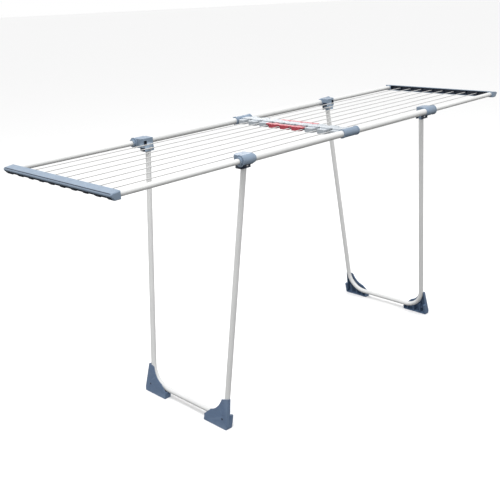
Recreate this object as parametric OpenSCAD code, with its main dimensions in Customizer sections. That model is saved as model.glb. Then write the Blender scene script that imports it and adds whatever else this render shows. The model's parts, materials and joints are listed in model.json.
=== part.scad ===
// Telescopic clothes airer: two wings of wires slide out of a middle frame that stands on
// two folding U-shaped legs. Millimetres, +Z up, origin on the floor under the centre.
// Every base shape is drawn in the far right quarter (+X, +Y) and turned or mirrored into place.

/* [Overall] */
// Height of the rail axes above the floor
rail_z = 930; // [780:1:1116]
// Distance between the axes of the two rails
rail_gap = 534; // [445:1:641]
// Distance from the centre to the axis of an end bar with the wing pulled out
end_x = 1024; // [853:1:1229]
// Distance from the centre to the pivot of a leg
hub_x = 503; // [440:1:604]

/* [Tubes and wires] */
// Outer diameter of the fixed rail tubes
outer_d = 24; // [20:0.5:29]
// Wall of the fixed rail tubes
outer_wall = 1; // [0.8:0.1:1.2]
// Outer diameter of the sliding rail tubes
inner_d = 18; // [15:0.5:19]
// Wall of the sliding rail tubes
inner_wall = 0.9; // [0.7:0.1:1.2]
// Outer diameter of the leg tubes
leg_d = 19; // [15.5:0.5:23]
// Wall of the leg tubes
leg_wall = 1; // [0.8:0.1:1.5]
// Diameter of the drying wires
wire_d = 3.2; // [2.6:0.1:3.9]
// Number of wires in each wing, even
wire_count = 8; // [4:2:10]
// Distance from a rail axis to the nearest wire station
edge_gap = 65.4; // [60:0.2:78.6]
// How far a wire runs to one side of its station, so that the two wings' wires pass
wire_offset = 3; // [2.8:0.1:3.6]

/* [Legs] */
// How far the foot of a leg stands outboard of its pivot
foot_out = 106; // [88:1:128]
// How far a leg pivot lies inside the rail axis
leg_inset = 26; // [25:0.5:31]
// How much each leg tube leans inward over its length
leg_taper = 44; // [40:1:53]
// Height of the bottom bar's axis above the floor
bar_z = 28; // [24:1:34]
// Centreline radius of the bend at the foot
bend_r = 85; // [70:1:102]
// How far a pivot lies below the rail axis
pivot_drop = 21; // [21:0.5:25]
// Diameter of the pivot pins
pin_d = 6; // [5:0.5:7]

/* [Feet] */
// Height of a foot
foot_h = 104; // [90:1:125]
// Thickness of a foot's walls
foot_wall = 3; // [2.5:0.1:3.6]
// How far a foot reaches outside the leg axis at the floor
foot_reach = 26; // [22:0.5:27]
// Depth of a foot inboard of its plate's plane, at the floor
foot_back = 14; // [12:0.5:16.5]
// How far a foot flares outboard of its leg's plane, in degrees
foot_flare = 5; // [4:0.5:6]

/* [Hubs and sleeves] */
// Length of the tube socket from the pivot to the tube's end
tube_past_pivot = 12; // [10:0.5:14.5]
// Length of the round collar outboard of the pivot
collar_out = 43; // [40:1:51]
// Length of the collar inboard of the pivot
collar_in = 18; // [15:1:22]
// Wall of the collar round the tube
collar_wall = 5.5; // [4.6:0.1:6.5]
// Length of a centre sleeve
sleeve_len = 84; // [70:1:100]
// Wall of a centre sleeve
sleeve_wall = 3.5; // [3:0.1:4.2]

/* [Crossbar and levers] */
// Half width of the crossbar's core along the rails
core_half = 20; // [18:0.5:24]
// How far the crossbar's lobes stand out of its core
lobe_out = 26; // [22:0.5:31]
// Height of the crossbar's base shell below the wires
base_h = 9; // [9:0.1:9.4]
// Height of the crossbar's cover above the wires
cover_h = 10; // [9:0.1:12]
// How far a release lever travels when squeezed
lever_travel = 6; // [4:0.5:7]

/* [End bars] */
// Height of an end bar
bar_h = 25; // [24:0.5:30]
// Width of an end bar along the rails
bar_w = 34; // [32:0.5:41]
// Wall of an end bar
bar_wall = 2.6; // [2.2:0.1:3.1]

/* [Fits] */
// Radial gap of a pressed or glued fit
press_gap = 0.05; // [0.03:0.01:0.06]
// Radial gap between a pivot pin and the eye that turns on it
pin_gap = 0.08; // [0.05:0.01:0.1]
// Gap beside parts that slide or swing
slide_gap = 0.3; // [0.3:0.05:0.4]

/* [Hidden] */
$fn = 48;

over = 1;                                    // how far a cut runs past a face
rail_y = rail_gap / 2;
outer_r = outer_d / 2;
outer_bore_r = outer_r - outer_wall;
inner_r = inner_d / 2;
leg_r = leg_d / 2;
wire_r = wire_d / 2;
pin_r = pin_d / 2;

// Wire stations, measured from the centre line
pitch = (rail_gap - 2 * edge_gap) / (wire_count - 1);
stations = [for (i = [0 : wire_count - 1]) (i - (wire_count - 1) / 2) * pitch];

// Centre sleeves and plugs
sleeve_core = 3;                             // half thickness of the wall inside a sleeve
sleeve_rim = 3;
plug_flange = 10;
plug_clear = 0.5;

// Hub
collar_r = outer_r + collar_wall;
hub_in = hub_x - collar_in;
hub_out = hub_x + collar_out;
tube_end = hub_x + tube_past_pivot;
taper_len = 13;
nose_len = 7;
nose_r = outer_r + 1.5;
lip_len = 3.5;
lip_out = 1.3;
bush_r = inner_r + slide_gap;
pivot_z = rail_z - pivot_drop;
leg_y = rail_y - leg_inset;
slot_half = leg_r + 1.2;
cheek = 3;
box_half = slot_half + cheek;
box_bottom = pivot_z - leg_r - 0.5;
box_out = hub_x + leg_r + 15;
inner_y = leg_y - box_half;                  // inner face of the hub
block_half_h = collar_r - 1.5;
pin_head_r = pin_r + 2.5;
pin_head_t = 2;
pin_tail_r = pin_r + 1.2;
latch_x = hub_x + 20.5;
latch_y = inner_y + 6;                       // face of the latch, deep in its recess
latch_w = 10;
latch_t = 2.2;
latch_drop = 9;
latch_rise = 8;
latch_side = 1.5;

// Legs
splay = atan2(foot_out, pivot_z - bar_z);
leg_len = norm([foot_out, pivot_z - bar_z]);
lean = atan2(leg_taper, leg_len);
foot_y = leg_y - leg_taper;
turn = 90 - lean;
tangent = bend_r * tan(turn / 2);
bend_y = foot_y - tangent;
bend_z = bend_r - leg_len;
leg_straight = leg_len / cos(lean) - tangent;
knuckle_len = 12;
spigot_len = 24;
joiner_len = 60;
bend_lap = 0.3;                              // how far the straight tube runs into the bend

// Feet, in the leg's own plane: y across, z along the leg with 0 at the pivot
floor_z = -pivot_z / cos(splay);             // the floor, at the leg's own plane
floor_tilt = 4;                              // covers the floor's slope across a foot
foot_drop = 6;                               // and the slope that the flare adds
foot_top = -leg_len - bar_z + foot_h;
foot_top_y = leg_y - leg_taper * foot_top / -leg_len;
foot_depth = leg_r + foot_wall;              // outboard of the leg's plane
foot_side_back = 2;                          // depth of the upper side wall inboard of the tube's axis
foot_in_y = bend_y - 9;
foot_out_y = foot_y + foot_reach;
foot_step_z = -leg_len + 20;                 // top of the foot's thick lower part
plate_r = bend_r - leg_r - 5;                // hollow edge of the plate, round the bend's centre
screw_y = foot_y - 1;
screw_z = -leg_len;
screw_head_r = 3.6;
screw_head_t = 1.6;
screw_sink = 0.6;                            // how far a screw's head lies below the plate's face
screw_shank_r = 1.7;
screw_len = 13;
boss_r = 4.6;
vent_r = 1.6;
vent_rise = 13;

// Crossbar
core_y = rail_y - outer_r - sleeve_wall - 5;
core_wall = 2;
recess_r = wire_offset + wire_r + 2.2;
scallop_r = 7;
scallop_depth = 6;
guide_r = wire_r + 0.5;
stop_r = wire_r + 1.2;
stop_len = 5;
wire_end = core_wall + 0.5 + stop_len;
lobe_half = pitch / 2 - 9;
lobe_round = 9;
cover_lobe_drop = 3;
mid_lobes = 3;
lever_half = (mid_lobes + 1) / 2 * pitch - lobe_half - 1.5;
lever_back = core_half + 10;
lever_front = core_half + lobe_out + 5;
lever_plate = 4;
lever_top = rail_z + stop_r + 0.6 + lever_plate;
grip_drop = 15;
grip_half = pitch / 2 - 7;
grip_round = 6;
tongue_half = 10;
tongue_y = pitch;
tongue_in = core_half - 4;
spring_y = pitch / 5;
spring_r = 2.2;
spring_core_r = 1.2;
spring_turns = 8;
spring_seat = 6;
spring_z = lever_top - lever_plate / 2;
cross_screw_r = 1.6;
cross_screw_head_r = 3;
cross_screw_y = stations[wire_count - 1] + 20;

// End bars
bar_in = end_x - bar_w / 2;
bar_out = end_x + bar_w / 2;
bar_half_y = rail_y + inner_r + 3;
cap_t = 5;
socket_len = 20;
rib_half = 4.5;
channel_depth = 8;                           // open channel in front of the ribs
bar_nose = 6;
bar_fall = 3.5;                              // how far the top slopes down to the nose
bar_chamfer = 12;
pocket_depth = bar_w / 2 - bar_wall;
wire_anchor = 20;
arch_half = 19;                              // scallops in the lower outer edge, between the wires
arch_h = 11;
arch_r = (arch_half * arch_half + arch_h * arch_h) / (2 * arch_h);

steel_white = [0.93, 0.93, 0.92];
blue_grey = [0.44, 0.52, 0.61];
light_grey = [0.80, 0.82, 0.84];
lever_red = [0.85, 0.16, 0.20];
zinc = [0.72, 0.73, 0.74];
nylon = [0.90, 0.90, 0.87];

// ---------- placing ----------

// side is 1 for right, -1 for left; row is 1 for far, -1 for near
module mirrored(side, row) {
    if (side > 0 && row > 0) children();
    if (side < 0 && row > 0) mirror([1, 0, 0]) children();
    if (side > 0 && row < 0) mirror([0, 1, 0]) children();
    if (side < 0 && row < 0) rotate([0, 0, 180]) children();
}

// A wing, leg or lever on the left is the right one turned half round
module turned(side) {
    if (side > 0) children();
    else rotate([0, 0, 180]) children();
}

module rod(r, x0, x1, y = 0, z = 0) {
    translate([x0, y, z]) rotate([0, 90, 0]) cylinder(r = r, h = x1 - x0);
}

module cross_rod(r, y0, y1, x = 0, z = 0) {
    translate([x, y0, z]) rotate([-90, 0, 0]) cylinder(r = r, h = y1 - y0);
}

module block(x0, x1, y0, y1, z0, z1) {
    translate([x0, y0, z0]) cube([x1 - x0, y1 - y0, z1 - z0]);
}

module pipe(r, wall, x0, x1, y, z) {
    difference() {
        rod(r, x0, x1, y, z);
        rod(r - wall, x0 - over, x1 + over, y, z);
    }
}

// ---------- fixed rails and sleeves ----------

module outer_rail(side, row) {
    color(steel_white) mirrored(side, row)
        pipe(outer_r, outer_wall, sleeve_core, tube_end, rail_y, rail_z);
}

module center_sleeve(row) {
    sleeve_r = outer_r + sleeve_wall;
    color(blue_grey) mirrored(1, row) difference() {
        union() {
            rod(sleeve_r, -sleeve_len / 2, sleeve_len / 2, rail_y, rail_z);
            for (s = [-1, 1])
                rod(sleeve_r + 1, s * (sleeve_len / 2 - sleeve_rim) - sleeve_rim,
                    s * (sleeve_len / 2 - sleeve_rim) + sleeve_rim, rail_y, rail_z);
            block(-core_half - 2, core_half + 2, core_y, rail_y - outer_r, rail_z - base_h, rail_z + cover_h);
        }
        for (s = [-1, 1])
            rod(outer_r + press_gap, s > 0 ? sleeve_core : -sleeve_len, s > 0 ? sleeve_len : -sleeve_core,
                rail_y, rail_z);
    }
}

// ---------- hubs ----------

// Plan of the block inside the collar, cut back at its outboard corner
module hub_plan() {
    polygon([
        [hub_in + 2, rail_y], [hub_in + 2, inner_y + 2], [hub_in + 4, inner_y],
        [box_out + 4, inner_y], [hub_out - lip_len - 2, inner_y + 9], [hub_out - lip_len, rail_y]
    ]);
}

// The collar round the rail and the block inside it, both halves together
module collar_solid() {
    rod(collar_r, hub_in + taper_len, hub_out, rail_y, rail_z);
    translate([hub_in, rail_y, rail_z]) rotate([0, 90, 0])
        cylinder(r1 = outer_r + 2, r2 = collar_r, h = taper_len);
    rod(collar_r + lip_out, hub_out - lip_len, hub_out, rail_y, rail_z);
    rod(nose_r, hub_out, hub_out + nose_len, rail_y, rail_z);
    translate([0, 0, rail_z - block_half_h]) linear_extrude(2 * block_half_h) hub_plan();
}

// What lies between two heights of the collar
module collar_slice(z0, z1) {
    intersection() {
        collar_solid();
        block(hub_in, hub_out + nose_len, inner_y - over, rail_y + collar_r + lip_out + over, z0, z1);
    }
}

module collar_bores() {
    rod(outer_r + press_gap, hub_in - over, hub_out, rail_y, rail_z);
    rod(bush_r + 0.4, hub_out - over, hub_out + nose_len + over, rail_y, rail_z);
}

// The leg swings in this slot; its outboard wall leans with the leg and stops it
module leg_slot() {
    reach = leg_r + slide_gap;
    top = leg_r + 0.8;
    low = box_bottom - pivot_z - over;
    wall_x = reach / cos(splay);
    translate([hub_x, leg_y + slot_half, pivot_z]) rotate([90, 0, 0])
        linear_extrude(2 * slot_half)
            polygon([
                [-collar_in - over, low], [-collar_in - over, top],
                [wall_x - top * tan(splay), top], [wall_x - low * tan(splay), low]
            ]);
}

module latch_recess(y1, z0, z1) {
    block(latch_x - latch_w / 2 - latch_side, latch_x + latch_w / 2 + latch_side, inner_y - over, y1, z0, z1);
}

module hub_base(side, row) {
    color(blue_grey) mirrored(side, row) difference() {
        union() {
            collar_slice(box_bottom, rail_z);
            block(hub_in + 2, box_out, inner_y, leg_y + box_half, box_bottom, rail_z - block_half_h + over);
        }
        collar_bores();
        leg_slot();
        latch_recess(latch_y + latch_t + 0.5, rail_z - latch_drop - 0.5, rail_z + over);
        cross_rod(pin_r + press_gap, inner_y - over, leg_y + box_half + over, hub_x, pivot_z);
        cross_rod(pin_tail_r + 0.5, leg_y + box_half, leg_y + box_half + pin_head_t + 0.5, hub_x, pivot_z);
    }
}

module hub_cap(side, row) {
    color(blue_grey) mirrored(side, row) {
        difference() {
            collar_slice(rail_z, rail_z + 2 * collar_r);
            collar_bores();
            latch_recess(latch_y + 0.3, rail_z - over, rail_z + latch_rise);
        }
        block(latch_x - latch_w / 2, latch_x + latch_w / 2, latch_y + 0.3, latch_y + latch_t,
              rail_z - latch_drop, rail_z + 3);
    }
}

// Nylon guide that the sliding rail runs in, seated behind the fixed tube
module guide_bush(side, row) {
    color(nylon) mirrored(side, row)
        pipe(outer_r, outer_r - bush_r, tube_end, hub_out, rail_y, rail_z);
}

module pivot_pins(side) {
    color(zinc) for (row = [-1, 1]) mirrored(side, row) {
        cross_rod(pin_r, inner_y - pin_head_t, leg_y + box_half + pin_head_t, hub_x, pivot_z);
        cross_rod(pin_head_r, inner_y - pin_head_t, inner_y, hub_x, pivot_z);
        cross_rod(pin_tail_r, leg_y + box_half, leg_y + box_half + pin_head_t, hub_x, pivot_z);
    }
}

// ---------- crossbar ----------

// Plan of the crossbar: core, outer lobes, and nothing where the levers sit
module crossbar_plan() {
    square([2 * core_half, 2 * core_y], center = true);
    for (s = [-1, 1])
        for (i = [0 : wire_count])
            if (abs(i - wire_count / 2) > mid_lobes / 2)
                lobe_plan(s, (i - wire_count / 2) * pitch);
}

module lobe_plan(s, y) {
    reach = core_half + lobe_out;
    half = min(lobe_half, core_y - abs(y));
    translate([s > 0 ? 0 : -reach + lobe_round, y - half]) square([reach - lobe_round, 2 * half]);
    translate([s > 0 ? 0 : -reach, y - half + lobe_round]) square([reach, 2 * (half - lobe_round)]);
    for (e = [-1, 1])
        translate([s * (reach - lobe_round), y + e * (half - lobe_round)]) circle(r = lobe_round);
}

// Recesses at each wire station, with a thin wall between that holds the guide holes
module station_cuts() {
    for (y = stations) {
        for (s = [-1, 1]) {
            rod(recess_r, s > 0 ? core_wall : -core_half - over, s > 0 ? core_half + over : -core_wall,
                y, rail_z);
            rod(guide_r, -core_wall - over, core_wall + over, y + s * wire_offset, rail_z);
        }
    }
}

module screw_holes(r, z0, z1) {
    for (s = [-1, 1])
        translate([0, s * cross_screw_y, z0]) cylinder(r = r, h = z1 - z0);
}

module crossbar_base() {
    color(light_grey) difference() {
        translate([0, 0, rail_z - base_h]) linear_extrude(base_h) crossbar_plan();
        station_cuts();
        screw_holes(cross_screw_r + press_gap, rail_z - base_h + 2, rail_z + over);
    }
}

// Bites out of the cover's edges over each wire
module cover_scallops() {
    for (s = [-1, 1])
        for (y = stations)
            translate([s * (core_half + scallop_r - scallop_depth), y, rail_z - over])
                cylinder(r = scallop_r, h = cover_h + 2 * over);
}

// Slots for the levers' tongues and bores for their springs
module lever_seats() {
    for (s = [-1, 1])
        for (t = [-1, 1]) {
            block(s > 0 ? tongue_in - lever_travel - 1 : -core_half - over,
                  s > 0 ? core_half + over : -tongue_in + lever_travel + 1,
                  t * tongue_y - tongue_half - slide_gap, t * tongue_y + tongue_half + slide_gap,
                  lever_top - lever_plate - slide_gap, lever_top + slide_gap);
            rod(spring_r + 0.4, s > 0 ? spring_seat : -core_half - over,
                s > 0 ? core_half + over : -spring_seat, t * spring_y, spring_z);
        }
}

module crossbar_cover() {
    color(light_grey) difference() {
        union() {
            translate([0, 0, rail_z]) linear_extrude(cover_h)
                square([2 * core_half, 2 * core_y], center = true);
            translate([0, 0, rail_z]) linear_extrude(cover_h - cover_lobe_drop) crossbar_plan();
        }
        station_cuts();
        cover_scallops();
        lever_seats();
        screw_holes(cross_screw_r + press_gap, rail_z - over, rail_z + cover_h + over);
        screw_holes(cross_screw_head_r + press_gap, rail_z + cover_h - 2.5, rail_z + cover_h + over);
    }
}

module crossbar_screws() {
    color(zinc) {
        screw_holes(cross_screw_r, rail_z - base_h + 2.5, rail_z + cover_h - 2.5);
        screw_holes(cross_screw_head_r, rail_z + cover_h - 2.5, rail_z + cover_h - 0.5);
    }
}

// ---------- release levers ----------

module grip_plan(half, reach) {
    r = grip_round;
    square([reach - r, 2 * half]);
    translate([0, r]) square([reach, 2 * (half - r)]);
    for (y = [r, 2 * half - r]) translate([reach - r, y]) circle(r = r);
}

module release_lever(side) {
    reach = lever_front - lever_back;
    color(lever_red) turned(side) {
        translate([lever_back, -lever_half, lever_top - lever_plate])
            linear_extrude(lever_plate) grip_plan(lever_half, reach - 2);
        for (i = [-1 : 1])
            translate([lever_back + 2, i * pitch - grip_half, lever_top - grip_drop])
                linear_extrude(grip_drop - 0.5) grip_plan(grip_half, reach - 2);
        for (t = [-1, 1])
            block(tongue_in, lever_back + 2, t * tongue_y - tongue_half, t * tongue_y + tongue_half,
                  lever_top - lever_plate, lever_top);
    }
}

// Return springs, drawn as a stack of flat rings on a thin core
module lever_springs(side) {
    gap = (lever_back - spring_seat) / spring_turns;
    color(zinc) turned(side) for (t = [-1, 1]) {
        for (i = [0 : spring_turns - 1])
            rod(spring_r, spring_seat + i * gap, spring_seat + (i + 0.4) * gap, t * spring_y, spring_z);
        rod(spring_core_r, spring_seat, lever_back, t * spring_y, spring_z);
    }
}

// ---------- wings ----------

module inner_rail(side, row) {
    color(steel_white) mirrored(side, row)
        pipe(inner_r, inner_wall, tube_end - plug_clear, bar_in + socket_len, rail_y, rail_z);
}

// Nylon plugs that run inside the fixed tubes and stop the wing from coming out
module rail_plugs(side) {
    color(nylon) for (row = [-1, 1]) mirrored(side, row) {
        rod(outer_bore_r - slide_gap, tube_end - plug_clear - plug_flange, tube_end - plug_clear,
            rail_y, rail_z);
        rod(inner_r - inner_wall - press_gap, tube_end - plug_clear, tube_end + 16, rail_y, rail_z);
    }
}

// Section of an end bar: x outward from its axis, y up from the rail axis. The top slopes to a
// round nose, and a chamfer runs from the nose down to the flat underside.
module bar_section(inset) {
    w = bar_w / 2;
    h = bar_h / 2;
    steps = 10;
    nose = [for (i = [0 : steps]) let (a = 75 - 115 * i / steps, r = bar_nose - inset)
        [w - bar_nose + r * cos(a), h - bar_fall - bar_nose + r * sin(a)]];
    polygon(concat([[-w + inset, inset - h], [-w + inset, h - inset]], nose,
                   [[w - bar_chamfer - inset / 2, inset - h]]));
}

module bar_prism(inset, y0, y1) {
    translate([end_x, y1, rail_z]) rotate([90, 0, 0]) linear_extrude(y1 - y0) bar_section(inset);
}

// A hollow that is open toward the centre of the rack
module bar_pocket(depth, y0, y1) {
    h = bar_h / 2 - bar_wall;
    block(bar_in - over, bar_in + depth, y0, y1, rail_z - h, rail_z + h);
}

module end_bar(side) {
    boss = inner_r + 3;
    lines = concat([-rail_y], [for (y = stations) y + wire_offset], [rail_y]);
    halves = concat([boss], [for (y = stations) rib_half], [boss]);
    color(blue_grey) turned(side) difference() {
        bar_prism(0, -bar_half_y, bar_half_y);
        bar_pocket(channel_depth, -rail_y + boss, rail_y - boss);
        for (i = [0 : len(lines) - 2]) {
            bar_pocket(pocket_depth, lines[i] + halves[i], lines[i + 1] - halves[i + 1]);
            rod(arch_r, bar_in + pocket_depth + bar_wall, bar_out + over, (lines[i] + lines[i + 1]) / 2,
                rail_z - bar_h / 2 + arch_h - arch_r);
        }
        for (y = stations)
            rod(wire_r + press_gap, bar_in - over, bar_in + wire_anchor, y + wire_offset, rail_z);
        for (s = [-1, 1])
            rod(inner_r + press_gap, bar_in - over, bar_in + socket_len, s * rail_y, rail_z);
    }
}

module end_caps(side) {
    color(blue_grey) turned(side) for (s = [-1, 1]) {
        bar_prism(0, s > 0 ? bar_half_y : -bar_half_y - cap_t + 2, s > 0 ? bar_half_y + cap_t - 2 : -bar_half_y);
        bar_prism(1.5, s > 0 ? bar_half_y : -bar_half_y - cap_t, s > 0 ? bar_half_y + cap_t : -bar_half_y);
    }
}

module wires(side) {
    color(steel_white) turned(side) for (y = stations)
        rod(wire_r, -wire_end, bar_in + wire_anchor, y + wire_offset, rail_z);
}

// Crimped stops that hold each wire taut against the crossbar's guide wall
module wire_stops(side) {
    color(zinc) turned(side) for (y = stations)
        pipe(stop_r, stop_r - wire_r - press_gap, -wire_end, -wire_end + stop_len, y + wire_offset, rail_z);
}

// ---------- legs ----------

// Puts a leg shape, drawn in the plane x = 0 with the pivot at z = 0, on its splayed leg
module on_leg(side, row) {
    mirrored(side, row) translate([hub_x, 0, pivot_z]) rotate([0, -splay, 0]) children();
}

module leg_path(r, extra) {
    translate([0, leg_y, 0]) rotate([-lean, 0, 0])
        translate([0, 0, -leg_straight - bend_lap])
            cylinder(r = r, h = leg_straight + bend_lap - knuckle_len + extra);
    translate([0, bend_y, bend_z]) rotate([90, 0, 90]) rotate([0, 0, -90])
        rotate_extrude(angle = turn) translate([bend_r, 0]) circle(r = r);
    translate([0, -extra, -leg_len]) rotate([-90, 0, 0]) cylinder(r = r, h = bend_y + extra);
}

module leg_tube(side, row) {
    color(steel_white) on_leg(side, row) difference() {
        leg_path(leg_r, 0);
        leg_path(leg_r - leg_wall, over);
    }
}

module leg_knuckles(side) {
    color(blue_grey) for (row = [-1, 1]) on_leg(side, row) difference() {
        union() {
            cross_rod(leg_r, leg_y - slot_half + 0.3, leg_y + slot_half - 0.3, 0, 0);
            translate([0, leg_y, 0]) rotate([-lean, 0, 0]) {
                translate([0, 0, -knuckle_len]) cylinder(r = leg_r, h = knuckle_len - 1);
                translate([0, 0, -knuckle_len - spigot_len])
                    cylinder(r = leg_r - leg_wall - press_gap, h = spigot_len + over);
            }
        }
        cross_rod(pin_r + pin_gap, leg_y - slot_half - over, leg_y + slot_half + over, 0, 0);
    }
}

// Spigot inside the bottom bar that joins the near and far halves of a leg
module leg_joiner(side) {
    color(nylon) on_leg(side, 1)
        cross_rod(leg_r - leg_wall - press_gap, -joiner_len / 2, joiner_len / 2, 0, -leg_len);
}

// Outline of a foot in the leg's plane: its outer edge slants out to a corner near the floor, and
// its hollow edge follows the bend
module foot_outline() {
    low = floor_z - floor_tilt - foot_drop;
    difference() {
        polygon([
            [foot_in_y, low], [foot_out_y - 4, low], [foot_out_y, -leg_len - 18],
            [foot_top_y + leg_r + foot_wall + 0.5, foot_top], [bend_y + plate_r, foot_top - 6],
            [foot_in_y + 26, -leg_len + 14], [foot_in_y, -leg_len - leg_r]
        ]);
        translate([bend_y, bend_z]) circle(r = plate_r, $fn = 96);
    }
}

// What is left open inside a foot's floor, side and inner end
module foot_hollow() {
    low = floor_z + foot_wall + 1.5;
    polygon([
        [foot_in_y + foot_wall, low], [foot_out_y - foot_wall - 1, low],
        [foot_out_y - foot_wall - 1, -leg_len - 18],
        [foot_top_y + leg_r + 0.5, foot_top + over], [bend_y, foot_top + over],
        [foot_in_y + foot_wall, bend_z]
    ]);
}

// Stands a shape of the leg's plane up, between two depths
module foot_slab(x0, x1) {
    translate([x0, 0, 0]) rotate([90, 0, 90]) linear_extrude(x1 - x0) children();
}

module foot_ribs() {
    rib_t = 2.5;
    for (i = [0 : 2])
        block(-foot_back, leg_r + 2, foot_in_y + 20 + 32 * i, foot_in_y + 20 + 32 * i + rib_t,
              floor_z - floor_tilt, -leg_len - leg_r + 2 + 14 * i);
}

module foot_screw_hole(r, x0, x1, rise) {
    rod(r, x0, x1, screw_y, screw_z + rise);
}

// Turns a foot's shape outboard about its top edge
module flared() {
    translate([0, 0, foot_top]) rotate([0, -foot_flare, 0]) translate([0, 0, -foot_top]) children();
}

// A shell open toward the centre of the rack, with the tube lying in it
module foot(side, row) {
    color(blue_grey) mirrored(side, row) difference() {
        translate([hub_x, 0, pivot_z]) rotate([0, -splay, 0]) difference() {
            flared() difference() {
                union() {
                    difference() {
                        foot_slab(-foot_back, foot_depth) foot_outline();
                        foot_slab(-foot_back - over, leg_r + press_gap) foot_hollow();
                        block(-foot_back - over, -foot_side_back, 0, rail_y, foot_step_z, foot_top + over);
                    }
                    block(-foot_back, 0, foot_out_y - 9, foot_out_y, -leg_len - 12, foot_step_z);
                    foot_ribs();
                    foot_screw_hole(boss_r, foot_depth - screw_len - 2, foot_depth - 1, 0);
                }
                foot_screw_hole(screw_shank_r + press_gap, foot_depth - screw_len, foot_depth + over, 0);
                foot_screw_hole(screw_head_r + press_gap, foot_depth - screw_sink - screw_head_t,
                                foot_depth + over, 0);
                foot_screw_hole(vent_r, leg_r - over, foot_depth + over, vent_rise);
            }
            leg_path(leg_r + press_gap, 40);
        }
        block(0, end_x, -rail_gap, rail_gap, -100, 0);
    }
}

module foot_screws(side) {
    head_in = foot_depth - screw_sink - screw_head_t;
    color(zinc) for (row = [-1, 1]) on_leg(side, row) flared() {
        foot_screw_hole(screw_head_r, head_in, head_in + screw_head_t, 0);
        foot_screw_hole(screw_shank_r, foot_depth - screw_len + 0.5, head_in + 0.5, 0);
    }
}

outer_rail(-1, -1);  // outer_rail_near_left
outer_rail(1, -1);  // outer_rail_near_right
outer_rail(-1, 1);  // outer_rail_far_left
outer_rail(1, 1);  // outer_rail_far_right
center_sleeve(-1);  // center_sleeve_near
center_sleeve(1);  // center_sleeve_far
crossbar_base();
crossbar_cover();
crossbar_screws();
hub_base(-1, -1);  // hub_base_near_left
hub_base(1, -1);  // hub_base_near_right
hub_base(-1, 1);  // hub_base_far_left
hub_base(1, 1);  // hub_base_far_right
hub_cap(-1, -1);  // hub_cap_near_left
hub_cap(1, -1);  // hub_cap_near_right
hub_cap(-1, 1);  // hub_cap_far_left
hub_cap(1, 1);  // hub_cap_far_right
guide_bush(-1, -1);  // guide_bush_near_left
guide_bush(1, -1);  // guide_bush_near_right
guide_bush(-1, 1);  // guide_bush_far_left
guide_bush(1, 1);  // guide_bush_far_right
pivot_pins(-1);  // pivot_pins_left
pivot_pins(1);  // pivot_pins_right
lever_springs(-1);  // lever_springs_left
lever_springs(1);  // lever_springs_right
release_lever(-1);  // release_lever_left
release_lever(1);  // release_lever_right
inner_rail(-1, -1);  // inner_rail_near_left
inner_rail(-1, 1);  // inner_rail_far_left
inner_rail(1, -1);  // inner_rail_near_right
inner_rail(1, 1);  // inner_rail_far_right
rail_plugs(-1);  // rail_plugs_left
rail_plugs(1);  // rail_plugs_right
end_bar(-1);  // end_bar_left
end_bar(1);  // end_bar_right
end_caps(-1);  // end_caps_left
end_caps(1);  // end_caps_right
wires(-1);  // wires_left
wires(1);  // wires_right
wire_stops(-1);  // wire_stops_left
wire_stops(1);  // wire_stops_right
leg_tube(-1, -1);  // leg_tube_near_left
leg_tube(-1, 1);  // leg_tube_far_left
leg_tube(1, -1);  // leg_tube_near_right
leg_tube(1, 1);  // leg_tube_far_right
leg_knuckles(-1);  // leg_knuckles_left
leg_knuckles(1);  // leg_knuckles_right
leg_joiner(-1);  // leg_joiner_left
leg_joiner(1);  // leg_joiner_right
foot(-1, -1);  // foot_near_left
foot(-1, 1);  // foot_far_left
foot(1, -1);  // foot_near_right
foot(1, 1);  // foot_far_right
foot_screws(-1);  // foot_screws_left
foot_screws(1);  // foot_screws_right
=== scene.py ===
"""Looks of a telescopic clothes airer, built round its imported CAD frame. Metres, +Z up."""

import json
import math

import bmesh
import bpy
from mathutils import Matrix, Vector


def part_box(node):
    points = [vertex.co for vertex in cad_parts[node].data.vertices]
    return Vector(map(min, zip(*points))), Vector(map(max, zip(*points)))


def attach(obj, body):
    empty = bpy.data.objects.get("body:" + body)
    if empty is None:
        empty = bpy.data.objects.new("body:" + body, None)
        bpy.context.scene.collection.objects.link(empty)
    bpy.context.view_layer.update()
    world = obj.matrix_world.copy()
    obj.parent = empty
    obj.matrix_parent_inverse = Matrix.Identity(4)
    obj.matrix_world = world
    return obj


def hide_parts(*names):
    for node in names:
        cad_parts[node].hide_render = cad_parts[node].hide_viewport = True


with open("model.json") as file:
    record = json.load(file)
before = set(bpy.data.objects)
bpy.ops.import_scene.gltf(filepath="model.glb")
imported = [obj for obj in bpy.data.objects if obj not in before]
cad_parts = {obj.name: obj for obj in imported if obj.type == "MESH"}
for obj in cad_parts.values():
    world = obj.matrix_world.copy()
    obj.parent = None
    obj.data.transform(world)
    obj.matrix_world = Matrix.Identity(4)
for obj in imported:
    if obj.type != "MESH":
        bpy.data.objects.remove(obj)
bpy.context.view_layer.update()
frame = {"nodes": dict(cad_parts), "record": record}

NODES = frame["nodes"]
BODY_OF = {n: b for b, members in frame["record"]["behaviour"]["bodies"].items() for n in members}
SLOT_OF = {p["node"]: p["material_slot"] for p in frame["record"]["subparts"]}


def grey(value):
    return (value, value, value)


# ---------- camera, lights and floor ----------

CAMERA_PLACE = (-2.1715, -1.9428, 1.4498)
CAMERA_TURN = (0.77785, 0.33381, -0.05072)       # yaw from +Y toward +X, pitch down, roll; radians
CAMERA_LENS = 55.7                               # mm, on a sensor 36 mm wide
SENSOR_WIDTH = 36
CAMERA_REACH = 50


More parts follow.
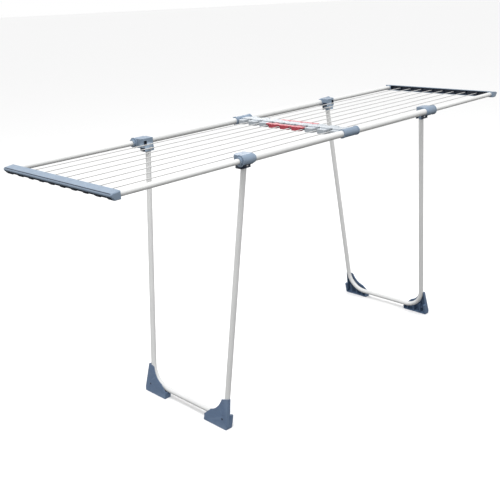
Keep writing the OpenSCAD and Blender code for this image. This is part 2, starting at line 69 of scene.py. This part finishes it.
def add_camera():
    """The main view: left of and in front of the rack, a little above its rails."""
    place = Vector(CAMERA_PLACE)
    yaw, pitch, roll = CAMERA_TURN
    ahead = Vector((math.sin(yaw) * math.cos(pitch), math.cos(yaw) * math.cos(pitch), -math.sin(pitch)))
    level = Vector((math.cos(yaw), -math.sin(yaw), 0))
    above = level.cross(ahead)
    right = math.cos(roll) * level + math.sin(roll) * above
    up = -math.sin(roll) * level + math.cos(roll) * above
    data = bpy.data.cameras.new("camera")
    data.lens = CAMERA_LENS
    data.sensor_width = SENSOR_WIDTH
    data.clip_end = CAMERA_REACH
    cam = bpy.data.objects.new("camera", data)
    bpy.context.scene.collection.objects.link(cam)
    cam.matrix_world = Matrix((
        (right.x, up.x, -ahead.x, place.x),
        (right.y, up.y, -ahead.y, place.y),
        (right.z, up.z, -ahead.z, place.z),
        (0, 0, 0, 1),
    ))
    bpy.context.scene.camera = cam


def add_area(name, place, target, size, watts):
    data = bpy.data.lights.new(name, "AREA")
    data.shape = "DISK"
    data.size = size
    data.energy = watts
    lamp = bpy.data.objects.new(name, data)
    bpy.context.scene.collection.objects.link(lamp)
    lamp.location = place
    lamp.rotation_euler = (Vector(target) - Vector(place)).to_track_quat("-Z", "Y").to_euler()


SKY_STRENGTH = 1.0
SKY_STOPS = ((0.0, 0.08), (0.34, 0.14), (0.44, 1.0), (1.0, 1.0))    # height from nadir to zenith, grey


def add_sky():
    """A white tent of light: bright above and at the horizon, dim below the floor."""
    world = bpy.data.worlds.new("studio")
    world.use_nodes = True
    tree = world.node_tree
    coords = tree.nodes.new("ShaderNodeTexCoord")
    split = tree.nodes.new("ShaderNodeSeparateXYZ")
    ramp = tree.nodes.new("ShaderNodeValToRGB")
    tree.links.new(coords.outputs["Generated"], split.inputs["Vector"])
    lift = tree.nodes.new("ShaderNodeMapRange")
    lift.inputs["From Min"].default_value = -1
    lift.inputs["From Max"].default_value = 1
    tree.links.new(split.outputs["Z"], lift.inputs["Value"])
    tree.links.new(lift.outputs["Result"], ramp.inputs["Fac"])
    for i, (at, level) in enumerate(SKY_STOPS):
        stop = ramp.color_ramp.elements[i] if i < 2 else ramp.color_ramp.elements.new(at)
        stop.position = at
        stop.color = (*grey(level), 1)
    back = tree.nodes["Background"]
    tree.links.new(ramp.outputs["Color"], back.inputs["Color"])
    back.inputs["Strength"].default_value = SKY_STRENGTH
    bpy.context.scene.world = world


# name, place, aimed at, diameter, watts
LAMPS = (
    ("key", (-1.2, -0.8, 4.8), (0, 0, 0.7), 2.4, 125),
    ("rim", (2.6, 2.8, 2.6), (0, 0, 0.8), 1.2, 12),
)
FLOOR_HALF = 120
FLOOR_CELLS = 8
FLOOR_DROP = 0.0005                              # keeps the paper just clear of the feet
PAPER_GREY = 0.93
PAPER_ROUGHNESS = 0.95
PAPER_SPECULAR = 0.1


def add_studio():
    bpy.context.scene.view_settings.view_transform = "Standard"
    add_sky()
    for lamp in LAMPS:
        add_area(*lamp)
    mesh = bpy.data.meshes.new("floor")
    bm = bmesh.new()
    bmesh.ops.create_grid(bm, x_segments=FLOOR_CELLS, y_segments=FLOOR_CELLS, size=FLOOR_HALF)
    bm.to_mesh(mesh)
    bm.free()
    floor = bpy.data.objects.new("floor", mesh)
    floor.location = (0, 0, -FLOOR_DROP)
    bpy.context.scene.collection.objects.link(floor)
    mat = bpy.data.materials.new("floor_paper")
    mat.use_nodes = True
    shader = mat.node_tree.nodes["Principled BSDF"]
    shader.inputs["Base Color"].default_value = (*grey(PAPER_GREY), 1)
    shader.inputs["Roughness"].default_value = PAPER_ROUGHNESS
    shader.inputs["Specular IOR Level"].default_value = PAPER_SPECULAR
    mesh.materials.append(mat)
    floor.visible_diffuse = False        # the paper throws no light back up under the rack
    floor.visible_glossy = False


# ---------- materials ----------

WEAR_EDGE = (0.53 + 0.04, 0.60 + 0.04)           # pointiness where edge wear starts and is full
WEAR_RAGGED = 0.08
WEAR_MOST = 0.55


class Finish:
    """A procedural material: colour variation, fine bump and worn spots over object coordinates."""

    def __init__(self, name):
        self.mat = bpy.data.materials.new(name)
        self.mat.use_nodes = True
        self.tree = self.mat.node_tree
        self.shader = self.tree.nodes["Principled BSDF"]
        self.coords = self.add("ShaderNodeTexCoord").outputs["Object"]

    def add(self, kind, **values):
        node = self.tree.nodes.new(kind)
        for key, value in values.items():
            setattr(node, key, value)
        return node

    def link(self, a, b):
        self.tree.links.new(a, b)

    def noise(self, scale, detail=3.0, roughness=0.5, stretch=None):
        node = self.add("ShaderNodeTexNoise")
        node.inputs["Scale"].default_value = scale
        node.inputs["Detail"].default_value = detail
        node.inputs["Roughness"].default_value = roughness
        source = self.coords
        if stretch:
            mapping = self.add("ShaderNodeMapping")
            mapping.inputs["Scale"].default_value = stretch
            self.link(self.coords, mapping.inputs["Vector"])
            source = mapping.outputs["Vector"]
        self.link(source, node.inputs["Vector"])
        return node.outputs["Fac"]

    def ramp(self, fac, stops):
        node = self.add("ShaderNodeValToRGB")
        ramp = node.color_ramp
        for i, (at, colour) in enumerate(stops):
            stop = ramp.elements[i] if i < 2 else ramp.elements.new(at)
            stop.position = at
            stop.color = (*colour, 1)
        self.link(fac, node.inputs["Fac"])
        return node.outputs["Color"]

    def mix(self, fac, a, b):
        node = self.add("ShaderNodeMix", data_type="RGBA")
        self.link(fac, node.inputs["Factor"])
        for value, name in ((a, "A"), (b, "B")):
            socket = [s for s in node.inputs if s.name == name and s.type == "RGBA"][0]
            if isinstance(value, tuple):
                socket.default_value = (*value, 1)
            else:
                self.link(value, socket)
        return [s for s in node.outputs if s.type == "RGBA"][0]

    def remap(self, fac, low, high, start=0.3, end=0.7):
        node = self.add("ShaderNodeMapRange")
        node.inputs["From Min"].default_value = start
        node.inputs["From Max"].default_value = end
        node.inputs["To Min"].default_value = low
        node.inputs["To Max"].default_value = high
        self.link(fac, node.inputs["Value"])
        return node.outputs["Result"]

    def bump(self, *layers):
        normal = None
        for height, strength, distance in layers:
            node = self.add("ShaderNodeBump")
            node.inputs["Strength"].default_value = strength
            node.inputs["Distance"].default_value = distance
            self.link(height, node.inputs["Height"])
            if normal:
                self.link(normal, node.inputs["Normal"])
            normal = node.outputs["Normal"]
        self.link(normal, self.shader.inputs["Normal"])

    def edge_wear(self):
        """Follows the rounded edges, where handling polishes the plastic lighter."""
        point = self.add("ShaderNodeNewGeometry").outputs["Pointiness"]
        ragged = self.noise(120, 3)
        node = self.add("ShaderNodeMath", operation="MULTIPLY_ADD")
        self.link(ragged, node.inputs[0])
        node.inputs[1].default_value = WEAR_RAGGED
        self.link(point, node.inputs[2])
        return self.remap(node.outputs["Value"], 0.0, WEAR_MOST, *WEAR_EDGE)

    def base(self, colour):
        self.link(colour, self.shader.inputs["Base Color"])

    def rough(self, value):
        self.link(value, self.shader.inputs["Roughness"])


def shade(colour, factor):
    return tuple(min(1.0, c * factor) for c in colour)


def powder_coat(name, colour, grain):
    """Sprayed powder paint: orange-peel skin, slightly uneven tone and a few fine rub marks."""
    f = Finish(name)
    cloud = f.noise(9, 4)
    tone = f.ramp(cloud, [(0.25, shade(colour, 0.955)), (0.75, shade(colour, 1.03))])
    rubs = f.ramp(f.noise(30, 5, 0.7, stretch=(6, 1, 1)), [(0.66, grey(0)), (0.74, grey(0.5))])
    f.base(f.mix(rubs, tone, shade(colour, 0.86)))
    peel = f.noise(grain, 2)
    f.rough(f.remap(f.noise(35, 3), 0.30, 0.44))
    f.bump((peel, 0.10, 0.0006))
    f.shader.inputs["Coat Weight"].default_value = 0.25
    f.shader.inputs["Coat Roughness"].default_value = 0.18
    return f.mat


SPARK_GRAIN = 900


def moulded(name, colour, rough, scuff):
    """Injection-moulded plastic: clouded colour, fine spark grain, faint flow lines and scuffs."""
    f = Finish(name)
    cloud = f.noise(16, 4)
    tone = f.ramp(cloud, [(0.2, shade(colour, 0.88)), (0.8, shade(colour, 1.12))])
    flow = f.noise(38, 2, stretch=(1, 1, 6))
    streak = f.ramp(flow, [(0.45, grey(0)), (0.62, grey(0.35))])
    toned = f.mix(streak, tone, shade(colour, 1.22))
    marks = f.ramp(f.noise(75, 6, 0.7), [(0.66, grey(0)), (0.72, grey(0.8))])
    worn = f.mix(f.edge_wear(), toned, scuff)
    f.base(f.mix(marks, worn, scuff))
    f.rough(f.remap(f.noise(55, 3), rough - 0.06, rough + 0.10))
    f.bump((f.noise(SPARK_GRAIN, 2), 0.16, 0.0004), (cloud, 0.05, 0.002))
    return f.mat


def metal(name, colour):
    """Plated steel, or near-black steel that stands for painted shade: a faintly uneven tone with fine drawn
    lines.
    """
    f = Finish(name)
    f.base(f.ramp(f.noise(60, 3), [(0.3, shade(colour, 0.85)), (0.7, shade(colour, 1.1))]))
    f.rough(f.remap(f.noise(240, 3, stretch=(1, 12, 1)), 0.25, 0.45))
    f.shader.inputs["Metallic"].default_value = 1.0
    f.bump((f.noise(500, 2, stretch=(1, 10, 1)), 0.08, 0.0003))
    return f.mat


MATERIALS = {
    "white_tube": powder_coat("white_powder_coat", (0.70, 0.705, 0.70), 420),
    "white_wire": powder_coat("white_wire_coat", (0.60, 0.60, 0.595), 900),
    "blue_grey_plastic": moulded("blue_grey_plastic", (0.185, 0.245, 0.325), 0.38, (0.27, 0.34, 0.42)),
    "dark_plastic": moulded("slate_plastic", (0.085, 0.135, 0.225), 0.42, (0.15, 0.21, 0.31)),
    "light_plastic": moulded("light_grey_plastic", (0.37, 0.405, 0.44), 0.36, (0.48, 0.51, 0.54)),
    "red_plastic": moulded("red_plastic", (0.40, 0.040, 0.062), 0.28, (0.50, 0.11, 0.13)),
    "nylon": moulded("natural_nylon", (0.72, 0.72, 0.67), 0.38, (0.62, 0.62, 0.58)),
    "zinc_steel": metal("zinc_plated_steel", (0.60, 0.61, 0.62)),
}
# Painted shade: the feet's screws lie deep in their holes, and this near-black steel stands for the shade
# there.
SCREW_PAINTED_SHADE = metal("painted_shade_screw_steel", (0.045, 0.05, 0.06))
# Painted shade: a near-black navy for faces in channels, recesses and under the hubs, standing for the shade
# there.
PAINTED_SHADE = moulded("painted_shade_navy_plastic", (0.018, 0.028, 0.050), 0.55, (0.03, 0.045, 0.075))


def paint_nodes():
    for name, node in NODES.items():
        node.data.materials.clear()
        sunk = name.startswith("foot_screws")
        # Foot screws take the near-black steel, which is painted shade for their deep holes.
        node.data.materials.append(SCREW_PAINTED_SHADE if sunk else MATERIALS[SLOT_OF[name]])


# ---------- moulded and formed pieces ----------

WELD_GAP = 0.00002
FLAT_ANGLE = math.radians(0.2)                   # faces this close to flat are one moulded face
SHARP_ANGLE = math.radians(28)                   # edges sharper than this get rounded
BEVEL_SEGMENTS = 3


def add_piece(name, bm, material, body, slot, *nodes):
    """Makes an object of a finished mesh, riding on a body in place of its CAD nodes."""
    mesh = bpy.data.meshes.new(name)
    bm.to_mesh(mesh)
    bm.free()
    mesh.materials.append(material)
    piece = bpy.data.objects.new(name, mesh)
    bpy.context.scene.collection.objects.link(piece)
    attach(piece, body)
    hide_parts(*nodes)
    return piece


def add_modifier(piece, kind, **values):
    mod = piece.modifiers.new(kind.lower(), kind)
    for key, value in values.items():
        setattr(mod, key, value)


def clean_faces(bm):
    """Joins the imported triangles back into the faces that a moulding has."""
    bmesh.ops.remove_doubles(bm, verts=bm.verts, dist=WELD_GAP)
    bmesh.ops.dissolve_limit(bm, angle_limit=FLAT_ANGLE, verts=bm.verts, edges=bm.edges)


def soften(node, edge):
    """Replaces a CAD node by a copy with every sharp edge rounded, as a mould leaves it."""
    bm = bmesh.new()
    bm.from_mesh(NODES[node].data)
    clean_faces(bm)
    slot = SLOT_OF[node]
    piece = add_piece(node + "_shell", bm, MATERIALS[slot], BODY_OF[node], slot, node)
    for face in piece.data.polygons:
        face.use_smooth = True
    add_modifier(piece, "BEVEL", width=edge, segments=BEVEL_SEGMENTS, limit_method="ANGLE",
                 angle_limit=SHARP_ANGLE, use_clamp_overlap=True, harden_normals=True,
                 miter_outer="MITER_ARC")
    add_modifier(piece, "WEIGHTED_NORMAL", keep_sharp=True)
    return piece


# The radius of the rounded edges on nodes whose names start so
SOFT_EDGES = {
    "hub_base": 0.0012, "hub_cap": 0.0018, "center_sleeve": 0.0014, "crossbar_base": 0.0012,
    "crossbar_cover": 0.0014, "release_lever": 0.0013, "end_bar": 0.0010, "end_caps": 0.0030, "foot_": 0.0010,
}


def soften_mouldings():
    pieces = {}
    for node in NODES:
        if node.startswith("foot_screws"):
            continue
        for start, edge in SOFT_EDGES.items():
            if node.startswith(start):
                pieces[node] = soften(node, edge)
    return pieces


def paint_shade(piece, inside):
    """Paints shade: gives a near-black navy, standing for the shade in a hollow, to the faces whose middles
    lie in it.
    """
    piece.data.materials.append(PAINTED_SHADE)
    for face in piece.data.polygons:
        if inside(face.center):
            face.material_index = 1


BAR_WALL = 0.0016
BAR_CROWN = 0.0012                               # the top wall's extra, where the bar is rounded
HUB_BOX_HEIGHT = 0.0190
HUB_SKIN = 0.0008
RECESS_ALONG = (0.0305, 0.0455)                  # the latch recess, from the hub's inner end
RECESS_DEPTH = 0.0095
RECESS_BOTTOM = 0.0190
RECESS_TOP = 0.0085                              # above the top of the hub's base


# Painted shade: the end bars' channels and the hubs' undersides and latch recesses get the near-black navy.
def paint_hollow_shade(pieces):
    for side in ("left", "right"):
        node = f"end_bar_{side}"
        low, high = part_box(node)
        sign = 1 if side == "right" else -1
        mouth = low.x if sign > 0 else high.x
        depth = high.x - low.x

        def in_channel(at):
            deep = sign * (at.x - mouth)
            return (BAR_WALL < deep < depth - BAR_WALL
                    and low.z + BAR_WALL < at.z < high.z - BAR_WALL - BAR_CROWN
                    and low.y + BAR_WALL < at.y < high.y - BAR_WALL)

        paint_shade(pieces[node], in_channel)
        for row in ("near", "far"):
            paint_hub_shade(pieces, side, row)


def paint_hub_shade(pieces, side, row):
    """Paints shade on a hub's underside and in the recess of its latch, where shade falls."""
    low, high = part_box(f"hub_base_{row}_{side}")
    out = 1 if row == "far" else -1
    inner = low.y if out > 0 else high.y
    along = 1 if side == "right" else -1
    start = low.x if along > 0 else high.x

    def in_recess(at):
        return (RECESS_ALONG[0] < along * (at.x - start) < RECESS_ALONG[1]
                and HUB_SKIN < out * (at.y - inner) < RECESS_DEPTH
                and low.z + RECESS_BOTTOM < at.z < high.z + RECESS_TOP)

    # Painted shade under the hub's box, on the faces away from the centre, and in the latch recess.
    def under_box(at):
        return (at.z < low.z + HUB_BOX_HEIGHT and out * (at.y - inner) > HUB_SKIN) or in_recess(at)

    paint_shade(pieces[f"hub_base_{row}_{side}"], under_box)
    paint_shade(pieces[f"hub_cap_{row}_{side}"], in_recess)


add_camera()
add_studio()
paint_nodes()
paint_hollow_shade(soften_mouldings())
